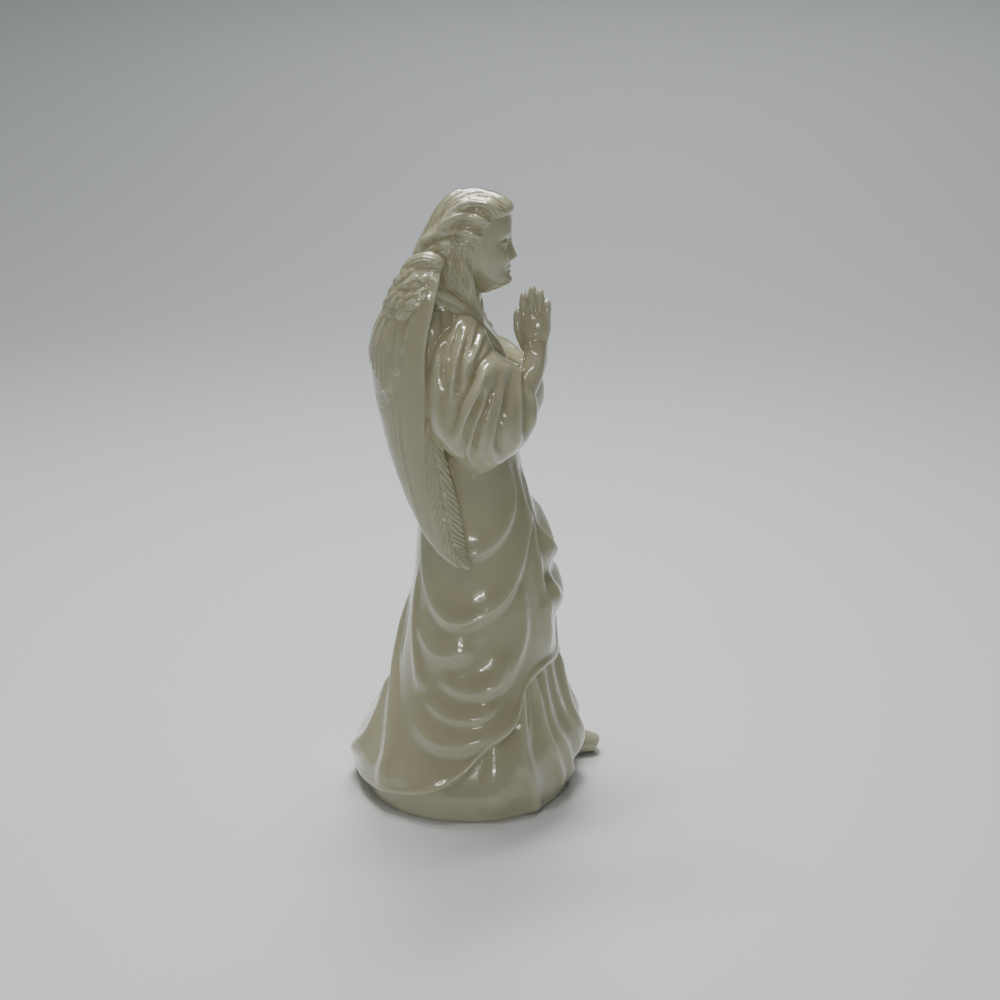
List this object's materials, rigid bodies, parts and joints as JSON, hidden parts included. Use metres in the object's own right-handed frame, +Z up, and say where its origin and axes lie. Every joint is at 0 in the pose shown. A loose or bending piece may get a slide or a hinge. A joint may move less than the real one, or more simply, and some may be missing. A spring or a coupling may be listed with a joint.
{
  "type": "porcelain angel figurine",
  "caption": "Glazed ivory porcelain figurine of a standing angel in a draped gown, hands pressed together in prayer and wings folded down the back.",
  "frame": {"origin": "centre of the underside, on the surface it stands on", "axes": "+Z up; the figure faces -Y; its own right hand side is -X and its left is +X"},
  "size_m": [0.1008, 0.1028, 0.24],
  "materials": {
    "glazed_porcelain": "smooth glossy ivory glaze, a little yellower where it pools in the folds"
  },
  "bodies": {
    "root": {"angel_figurine": "glazed_porcelain"}
  },
  "joints": []
}
